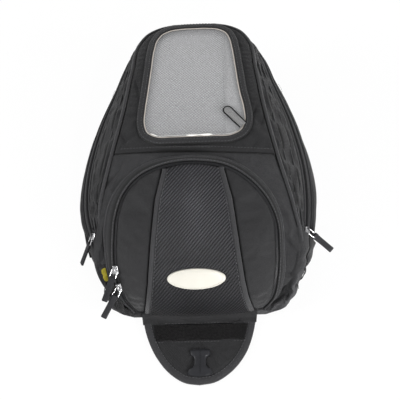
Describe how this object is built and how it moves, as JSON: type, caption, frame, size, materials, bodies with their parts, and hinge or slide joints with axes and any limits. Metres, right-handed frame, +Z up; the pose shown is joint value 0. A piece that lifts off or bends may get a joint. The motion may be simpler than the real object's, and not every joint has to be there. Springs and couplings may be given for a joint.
{
  "type": "motorcycle tank bag",
  "caption": "Soft motorcycle tank bag, wide and low in front and narrow behind, with a hinged lid under a map window, an expansion collar, a zipped front pocket and a magnet flap.",
  "frame": {"origin": "middle of the underside of the base, on the surface it rests on", "axes": "+Z up from the base, +Y towards the narrow rider's end, -Y towards the front pocket and the magnet flap"},
  "size_m": [0.367, 0.5332, 0.1677],
  "materials": {
    "ballistic_fabric": "dense ballistic weave, slight sheen",
    "lining_fabric": "smooth lining",
    "piping": "smooth bound piping, satin",
    "grip_rubber": "matte, fine grain",
    "zip_tape": "woven tape with coil teeth",
    "accent_weave": "diagonal carbon-look ribs, satin",
    "clear_film": "glossy clear film",
    "window_mesh": "pale diagonal mesh",
    "hook_tape": "fuzzy hook-and-loop tape",
    "moulded_plastic": "fine moulded texture",
    "board": "plain sheet",
    "foam": "closed-cell foam",
    "magnet": "plated disc",
    "emblem": "satin pale oval",
    "woven_label": "folded woven label",
    "zip_metal": "polished nickel",
    "pull_rubber": "ribbed moulded rubber"
  },
  "bodies": {
    "tub": {"base_sheet": "grip_rubber", "base_board": "board", "base_foam": "foam", "base_magnet_front_left": "magnet", "base_magnet_front_right": "magnet", "base_magnet_rear_left": "magnet", "base_magnet_rear_right": "magnet", "tub_wall": "ballistic_fabric", "expansion_gusset": "ballistic_fabric", "expansion_zip_tub_tape": "zip_tape", "side_label": "woven_label", "zip_end_tab_left": "ballistic_fabric", "zip_end_tab_right": "ballistic_fabric"},
    "collar": {"expansion_zip_collar_tape": "zip_tape", "collar_band": "ballistic_fabric", "main_zip_collar_tape": "zip_tape"},
    "lid": {"main_zip_lid_tape": "zip_tape", "lid_side": "ballistic_fabric", "lid_piping": "piping", "lid_panel": "ballistic_fabric", "map_backing": "window_mesh", "map_film": "clear_film", "window_piping": "piping", "lid_lining": "lining_fabric", "map_pull_tab": "piping", "pocket_wall": "ballistic_fabric", "pocket_zip_wall_tape": "zip_tape"},
    "pocket_door": {"pocket_zip_door_tape": "zip_tape", "pocket_door": "ballistic_fabric", "accent_panel": "accent_weave", "accent_piping_right": "piping", "accent_piping_left": "piping", "badge": "emblem"},
    "flap": {"flap_lower_sheet": "grip_rubber", "flap_upper_sheet": "ballistic_fabric", "flap_binding": "piping", "flap_magnet_right": "magnet", "flap_magnet_left": "magnet", "hook_strip": "hook_tape", "strap_catch": "moulded_plastic"},
    "main_right_slider": {"main_right_slider": "zip_metal"},
    "main_right_pull": {"main_right_pull_ring": "zip_metal", "main_right_pull_tab": "pull_rubber"},
    "main_left_slider": {"main_left_slider": "zip_metal"},
    "main_left_pull": {"main_left_pull_ring": "zip_metal", "main_left_pull_tab": "pull_rubber"},
    "pocket_upper_slider": {"pocket_upper_slider": "zip_metal"},
    "pocket_upper_pull": {"pocket_upper_pull_ring": "zip_metal", "pocket_upper_pull_tab": "pull_rubber"},
    "pocket_lower_slider": {"pocket_lower_slider": "zip_metal"},
    "pocket_lower_pull": {"pocket_lower_pull_ring": "zip_metal", "pocket_lower_pull_tab": "pull_rubber"}
  },
  "joints": [
    {"name": "expansion_hinge", "type": "hinge", "parent": "tub", "child": "collar", "pos_m": [0, -0.2065, 0.007], "axis": [1, 0, 0], "range_deg": [0, 8]},
    {"name": "lid_hinge", "type": "hinge", "parent": "collar", "child": "lid", "pos_m": [0, -0.2065, 0.007], "axis": [1, 0, 0], "range_deg": [0, 50]},
    {"name": "pocket_hinge", "type": "hinge", "parent": "lid", "child": "pocket_door", "pos_m": [0, -0.208, 0.012], "axis": [1, 0, 0], "range_deg": [0, 24]},
    {"name": "flap_hinge", "type": "hinge", "parent": "tub", "child": "flap", "pos_m": [0, -0.206, 0.0085], "axis": [1, 0, 0], "range_deg": [-68, 0]},
    {"name": "main_right_slide", "type": "slide", "parent": "lid", "child": "main_right_slider", "axis": [0.0455, 0.9456, 0.322], "range_m": [0, 0.038]},
    {"name": "main_right_swing", "type": "hinge", "parent": "main_right_slider", "child": "main_right_pull", "pos_m": [0.1585, -0.11356, 0.0774], "axis": [0.2707, 0.9365, -0.2231], "range_deg": [-100, 3]},
    {"name": "main_left_slide", "type": "slide", "parent": "lid", "child": "main_left_slider", "axis": [-0.0455, 0.9456, 0.322], "range_m": [0, 0.018]},
    {"name": "main_left_swing", "type": "hinge", "parent": "main_left_slider", "child": "main_left_pull", "pos_m": [-0.1585, -0.11356, 0.0774], "axis": [0.3727, -0.8437, 0.3862], "range_deg": [-100, 3]},
    {"name": "pocket_upper_slide", "type": "slide", "parent": "pocket_door", "child": "pocket_upper_slider", "axis": [-0.0236, 0.798, 0.6022], "range_m": [0, 0.04]},
    {"name": "pocket_upper_swing", "type": "hinge", "parent": "pocket_upper_slider", "child": "pocket_upper_pull", "pos_m": [-0.11369, -0.16821, 0.07815], "axis": [0.9327, -0.2824, -0.2244], "range_deg": [-100, 3]},
    {"name": "pocket_lower_slide", "type": "slide", "parent": "pocket_door", "child": "pocket_lower_slider", "axis": [0.199, -0.5104, -0.8366], "range_m": [0, 0.01]},
    {"name": "pocket_lower_swing", "type": "hinge", "parent": "pocket_lower_slider", "child": "pocket_lower_pull", "pos_m": [-0.11033, -0.1868, 0.05743], "axis": [0.8396, -0.2681, -0.4724], "range_deg": [-100, 3]}
  ]
}
